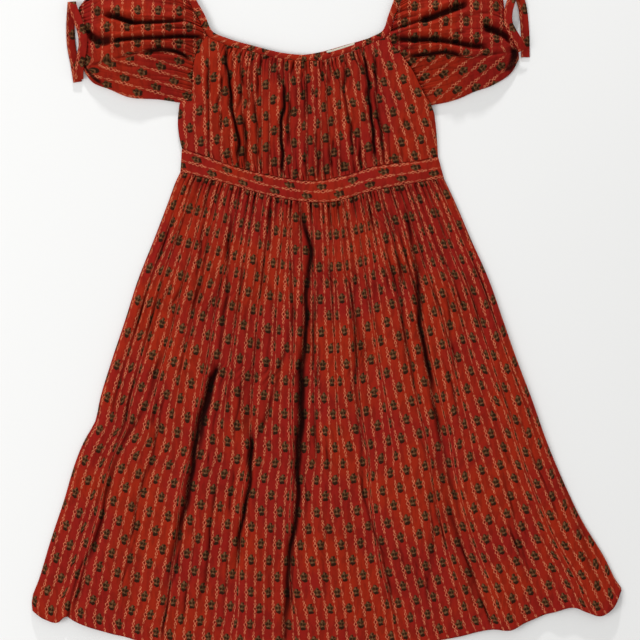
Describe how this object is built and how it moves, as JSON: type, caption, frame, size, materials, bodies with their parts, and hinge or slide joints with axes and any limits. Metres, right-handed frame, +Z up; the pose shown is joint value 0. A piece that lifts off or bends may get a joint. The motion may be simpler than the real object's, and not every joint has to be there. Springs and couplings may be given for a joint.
{
  "type": "summer dress laid flat",
  "caption": "Short-sleeved summer dress laid flat, with a gathered bodice and skirt, a waistband, puff sleeves with ties and a small all-over print.",
  "frame": {"origin": "centre of the bounding box at the level of the surface that the dress lies on", "axes": "+Z up from the surface through the dress to its front, +Y from the hem to the neck, +X from the wearer's right sleeve to the wearer's left sleeve"},
  "size_m": [0.9276, 1.0714, 0.0327],
  "materials": {
    "print": "matte",
    "label": "matte"
  },
  "bodies": {
    "root": {"bodice_front": "print", "bodice_back": "print", "waistband_front": "print", "waistband_back": "print", "skirt_front": "print", "skirt_back": "print", "sleeve_left": "print", "sleeve_right": "print", "neck_binding_front": "print", "neck_binding_back": "print", "tie_left": "print", "tie_right": "print", "neck_label": "label"}
  },
  "joints": []
}
